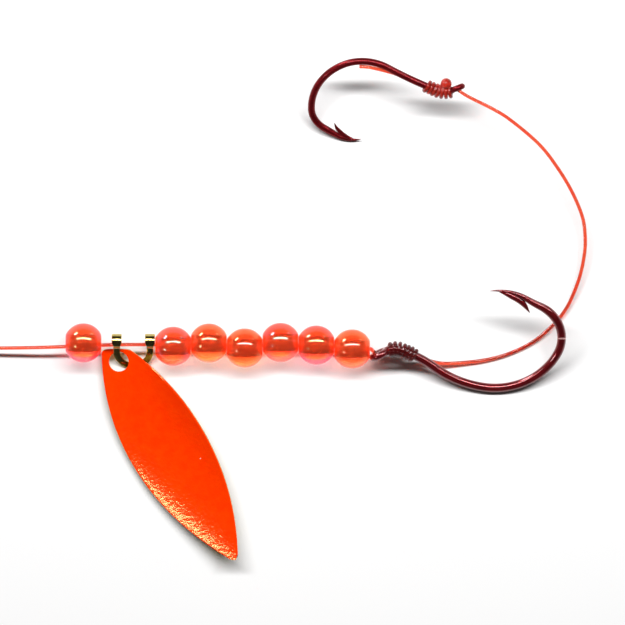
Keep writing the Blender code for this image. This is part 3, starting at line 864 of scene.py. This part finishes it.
def bead_profile(radius, length, bore, arc_steps=28):
    """A slightly squashed ball with a bore, and rounded lips where they meet."""
    lip = BEAD_LIP
    start = math.acos((bore + lip) / radius)
    half_length = length / 2 / math.sin(start)
    outside = []
    for step in range(arc_steps + 1):
        angle = start - 2 * start * step / arc_steps
        outside.append((radius * math.cos(angle), half_length * math.sin(angle)))
    into_bore = [(bore + lip * (1 - math.sin(turn)), length / 2 - lip * (1 - math.cos(turn)))
                 for turn in (math.pi / 8 * step for step in range(1, BEAD_LIP_STEPS + 1))]
    out_of_bore = [(reach, -along) for reach, along in into_bore]
    return outside + out_of_bore + into_bore[::-1]


def add_bead(node, film, pearl_and_glow):
    size = box_size(node)
    shell = bead_material(node + "_plastic", node, film, pearl_and_glow)
    bore = bore_material(node + "_bore", box_middle(node), size.x / 2)
    bead = turned(node + "_shell", bead_profile(size.y / 2, size.x + BEAD_TOUCH, BEAD_BORE_RADIUS), 64)
    bead.data.materials.append(shell)
    bead.data.materials.append(bore)
    for polygon in bead.data.polygons:
        middle = polygon.center / MM
        if math.hypot(middle.y, middle.z) < BEAD_BORE_RADIUS * BORE_FACE_REACH:
            polygon.material_index = 1
    bead.location = box_middle(node) * MM
    return show(smooth(bead, 50), shell, node, (node,))


# ---- clevis and blade ----

CLEVIS_AXIS = (-24.17, -4.14, 2.35)
CLEVIS_SPAN = 4.16
CLEVIS_REACH = 3.6
CLEVIS_TILT = 33.0
CLEVIS_STRIP = 0.85
CLEVIS_THICK = 0.25
EAR_LENGTH = 1.25
EAR_RADIUS = 0.95
EAR_BORE_RADIUS = 0.67
# The legs start this share of the ear's radius below the line, the first step of each being short.
LEG_START_SHARE = 0.85
LEG_FIRST_STEP = 0.3
# Each ear narrows below this height over its axis, and reaches the leg's width over this span.
EAR_NARROW_TOP = 0.25
EAR_NARROW_SPAN = 0.45
EAR_LIP = 0.07
BOW_STEPS = 32

BLADE_LENGTH = 30.6
BLADE_HALF_WIDTH = 4.95
BLADE_SIDE_BOW = 0.25
BLADE_THICK = 0.3
BLADE_WIDEST = 0.46
BLADE_HEEL_HALF_WIDTH = 1.45
BLADE_TIP_HALF_WIDTH = 0.36
BLADE_HEEL_ROUND = 0.6
BLADE_HEEL_SQUARENESS = 3.5
# The heel is cut slantwise: so much further along per mm across, easing off over the slant's reach.
BLADE_HEEL_SLANT = 0.56
BLADE_SLANT_REACH = 4.0
BLADE_TIP_ROUND = 0.45
BLADE_FLANK_POWER = 2.05
BLADE_HOLE = (-25.87, -6.59)
BLADE_HOLE_D = 2.5
BLADE_HOLE_INSET = 1.85
BLADE_ANGLE = -59.0
BLADE_ROLL = 8.0
BLADE_CUP_RADIUS = 9.5
BLADE_HEEL_RISE = 0.9
BLADE_TIP_RISE = 2.75
BLADE_FLOOR_GAP = 0.02
# The rim's two corners lie this share of half the thickness over and under its middle.
BLADE_RIM_SHARE = 0.4
# Faces whose normal rises at least this steeply are painted; the rest is bare brass.
PAINTED_RISE = 0.75
HOLE_CUT_DEPTH = 8.0


def add_clevis(material):
    """A flat brass U with an ear rolled at each end, tilted so that its bow reaches down to the blade."""
    half = CLEVIS_SPAN / 2
    straight = CLEVIS_REACH - half
    leg_top = -EAR_RADIUS * LEG_START_SHARE
    path = [Vector((-half, leg_top - drop, 0.0)) for drop in (0.0, LEG_FIRST_STEP)]
    for step in range(BOW_STEPS + 1):
        side = polar(half, math.pi + math.pi * step / BOW_STEPS)
        path.append(Vector((side.x, side.y - straight, 0.0)))
    path += [Vector((half, leg_top - drop, 0.0)) for drop in (LEG_FIRST_STEP, 0.0)]
    strip = swept("clevis_strip", path, rounded_box_section(CLEVIS_STRIP, CLEVIS_THICK, 0.1))
    lip = EAR_LIP
    reach = EAR_LENGTH / 2
    profile = [(EAR_BORE_RADIUS, reach - lip), (EAR_BORE_RADIUS + lip, reach), (EAR_RADIUS - lip, reach),
               (EAR_RADIUS, reach - lip), (EAR_RADIUS, lip - reach), (EAR_RADIUS - lip, -reach),
               (EAR_BORE_RADIUS + lip, -reach), (EAR_BORE_RADIUS, lip - reach)]
    ears = []
    for side in (-1, 1):
        ear = turned("ear", profile, 48)
        for vertex in ear.data.vertices:
            lower = min(max((EAR_NARROW_TOP * MM - vertex.co.y) / (EAR_NARROW_SPAN * MM), 0.0), 1.0)
            vertex.co.x *= 1 - (1 - CLEVIS_STRIP / EAR_LENGTH) * lower
        ear.location = point((side * half, 0.0, 0.0))
        ears.append(ear)
    combine(strip, ears, "UNION")
    strip.location = point(CLEVIS_AXIS)
    strip.rotation_euler = (math.radians(CLEVIS_TILT), 0.0, 0.0)
    return show(smooth(strip), material, "clevis", ("clevis",))


def leaf_half_width(along):
    """Half width of the willow leaf at a distance from its heel, before its ends are rounded."""
    widest = BLADE_WIDEST * BLADE_LENGTH
    if along < widest:
        share = (widest - along) / widest
        return BLADE_HALF_WIDTH - (BLADE_HALF_WIDTH - BLADE_HEEL_HALF_WIDTH) * share ** BLADE_FLANK_POWER
    share = (along - widest) / (BLADE_LENGTH - widest)
    return BLADE_HALF_WIDTH - (BLADE_HALF_WIDTH - BLADE_TIP_HALF_WIDTH) * share ** BLADE_FLANK_POWER


def heel_slant(along):
    """How much further along a station's line runs for each mm across."""
    return BLADE_HEEL_SLANT * max(0.0, 1 - along / BLADE_SLANT_REACH) ** 2


def blade_reach(along, side):
    """How far the blade's outline lies across on one side, +1 or -1, at a station."""
    slant = side * heel_slant(along) * leaf_half_width(along)
    heel = 1 - min(along / BLADE_HEEL_ROUND, 1.0)
    tip = 1 - min((BLADE_LENGTH - along) / BLADE_TIP_ROUND, 1.0)
    squared = (1 - heel ** BLADE_HEEL_SQUARENESS) ** (1 / BLADE_HEEL_SQUARENESS)
    return side * leaf_half_width(along + slant) * squared * math.sqrt(1 - tip ** 2)


def blade_height(along, across):
    """Height of the middle of the sheet above its belly: cupped across, level at the hole, tip turned up."""
    belly = BLADE_WIDEST * BLADE_LENGTH
    if along < belly:
        share = min((belly - along) / (belly - BLADE_HOLE_INSET), 1.0)
        rise = BLADE_HEEL_RISE * (1 - math.cos(math.pi * share)) / 2
    else:
        rise = BLADE_TIP_RISE * ((along - belly) / (BLADE_LENGTH - belly)) ** 2
    return rise + across ** 2 / (2 * BLADE_CUP_RADIUS)


def blade_stations(middle_steps=90, round_steps=9):
    """Distances from the heel, close together where the outline turns quickly."""
    rounded = [1 - math.cos(math.pi / 2 * step / round_steps) for step in range(1, round_steps + 1)]
    inner = BLADE_LENGTH - BLADE_HEEL_ROUND - BLADE_TIP_ROUND
    heel = [BLADE_HEEL_ROUND * share for share in rounded]
    middle = [BLADE_HEEL_ROUND + inner * step / middle_steps for step in range(1, middle_steps)]
    return heel + middle + [BLADE_LENGTH - BLADE_TIP_ROUND * share for share in reversed(rounded)]


def blade_ring(station, columns=28, edge=0.1):
    """The sheet's closed outline at one station: its top from side to side, then its underside back."""
    left, right = blade_reach(station, -1), blade_reach(station, 1)
    middle = -BLADE_SIDE_BOW * math.sin(math.pi * station / BLADE_LENGTH)
    trim = min(edge, (right - left) / 4)
    thick = BLADE_THICK / 2

    def sheet_place(across, offset):
        along = station + heel_slant(station) * across
        lean = across / BLADE_CUP_RADIUS
        height = blade_height(along, across) + offset
        return (along - BLADE_HOLE_INSET, middle + across - offset * lean, height)

    ring = []
    for level, start, end in ((1, left + trim, right - trim), (-1, right - trim, left + trim)):
        for column in range(columns + 1):
            ring.append(sheet_place(start + (end - start) * column / columns, level * thick))
        outer = right if level > 0 else left
        ring.append(sheet_place(outer, level * BLADE_RIM_SHARE * thick))
        ring.append(sheet_place(outer, -level * BLADE_RIM_SHARE * thick))
    return ring


def add_blade(paint, metal):
    blade = loft("blade_sheet", [blade_ring(along) for along in blade_stations()])
    bm = bmesh.new()
    radius = BLADE_HOLE_D / 2 * MM
    bmesh.ops.create_cone(bm, cap_ends=True, segments=72, radius1=radius, radius2=radius,
                          depth=HOLE_CUT_DEPTH * MM)
    mesh = bpy.data.meshes.new("hole")
    bm.to_mesh(mesh)
    bm.free()
    combine(blade, [add_object("hole", mesh)], "DIFFERENCE")
    blade.data.materials.append(paint)
    blade.data.materials.append(metal)
    for polygon in blade.data.polygons:
        polygon.material_index = 0 if polygon.normal.z > PAINTED_RISE else 1
    blade.rotation_euler = Euler(radians((BLADE_ROLL, 0.0, BLADE_ANGLE)))
    bpy.context.view_layer.update()
    lowest = min((blade.matrix_world @ vertex.co).z for vertex in blade.data.vertices)
    blade.location = Vector((*point(BLADE_HOLE + (0.0,)).xy, BLADE_FLOOR_GAP * MM - lowest))
    return show(smooth(blade), paint, "blade", ("blade",))


# ---- the line through the beads, and the dropper between the hooks ----

LINE_CORE_ROUTE = (
    LEADER_EXIT, (-30.4, -4.7, LINE_Z), (-26.0, -4.55, LINE_Z), (-21.5, -4.54, LINE_Z),
    (-14.0, -4.6, LINE_Z), (-6.0, -4.63, LINE_Z), (-1.0, -4.68, LINE_Z), (3.0, -4.88, LINE_Z),
    (5.3, -5.03, LINE_Z), (5.75, -5.32, LINE_Z + 0.04), (6.2, -5.62, LINE_Z + 0.1), (6.6, -5.74, 2.5),
)
DROPPER_ROUTE = (
    (11.2, -6.05, 1.66), (12.4, -6.42, 1.3), (13.6, -6.75, 1.02), (14.85, -6.9, 0.85),
    (17.35, -6.77, 0.55), (19.85, -6.46, 0.4), (22.35, -5.83, 0.3), (24.85, -4.77, 0.3),
    (26.6, -3.62, 0.35), (28.2, -2.2, 0.42), (29.4, -0.85, 0.55), (30.5, 0.97, 0.75),
    (31.65, 3.97, 1.1), (32.25, 6.97, 1.45), (32.3, 9.2, 1.72), (31.95, 11.47, 2.0),
    (30.7, 14.47, 2.5), (28.9, 17.47, 3.1), (26.55, 20.47, 3.8), (23.0, 23.47, 4.75),
    (20.7, 24.9, 5.35), (17.7, 26.4, 6.0), (16.29, 27.3, 6.2),
)


def add_lines(nylon):
    show(line_curve("line_through_beads", smooth_route(LINE_CORE_ROUTE)), nylon, "line",
         ("line_core",))
    route = smooth_route(DROPPER_ROUTE)
    dropper = show(line_curve("dropper", route), nylon, "dropper", ("dropper_line",))


# ---- the rig ----

add_camera()
floor, lamps = add_studio()

nylon = line_material("line_nylon", (0.92, 0.12, 0.05), (0.85, 0.07, 0.03))
# The wraps' materials are darker copies of the line's nylon: painted shade, darkest on the front hook.
shaded_front_wrap = line_material("front_wrap_nylon", (0.2, 0.01, 0.01), (0.1, 0.005, 0.006), 0.55)
shaded_rear_wrap = line_material("rear_wrap_nylon", (0.6, 0.035, 0.018), (0.3, 0.012, 0.008), 0.55)
add_leader(nylon, tie_material())
add_lines(nylon)

front_steel = hook_material("front_red_steel", (0.09, 0.004, 0.006), (0.15, 0.006, 0.009), 0.12, 1.0,
                            PALE_MARK_PLACE)
rear_steel = hook_material("rear_red_steel", (0.1, 0.004, 0.006), (0.17, 0.007, 0.01), 0.22, 0.12)
front = (FRONT_HOOK, FRONT_EYE, FRONT_ROTATION)
rear = (REAR_HOOK, REAR_EYE, REAR_ROTATION)
front_hook = add_hook("front_hook_wire", *front, front_steel, "front_hook")
add_hook("rear_hook_wire", *rear, rear_steel, "rear_hook")
add_snell("front_snell_wraps", *front, shaded_front_wrap, "front_hook", "front_snell", 6.5,
          (0.0, 0.0, 0.0, 0.06, 0.06, 0.0, 0.0))
add_snell("rear_snell_wraps", *rear, shaded_rear_wrap, "rear_hook", "rear_snell", 6.5,
          (0.0, 0.0, 0.05, 0.08, 0.1, 0.1, 0.1))
add_tag("rear_tag_end", *rear, nylon, "rear_hook", "rear_tag")
add_melted_end("rear_melted_end", *rear, shaded_rear_wrap, "rear_hook")

beads = [add_bead(name, film, pearl_and_glow) for name, (film, pearl_and_glow) in BEAD_FILMS.items()]

brass = brass_material()
add_clevis(brass)
blade = add_blade(paint_material(), brass)

link_light(lamps["clear_strip"], "blocker", beads, "EXCLUDE")
link_light(lamps["bead_glint"], "receiver", beads, "INCLUDE")
link_light(lamps["shank_glint"], "receiver", [front_hook], "INCLUDE")
for side in ("left", "right", "low_left"):
    link_light(lamps[side], "receiver", [floor, blade], "EXCLUDE")
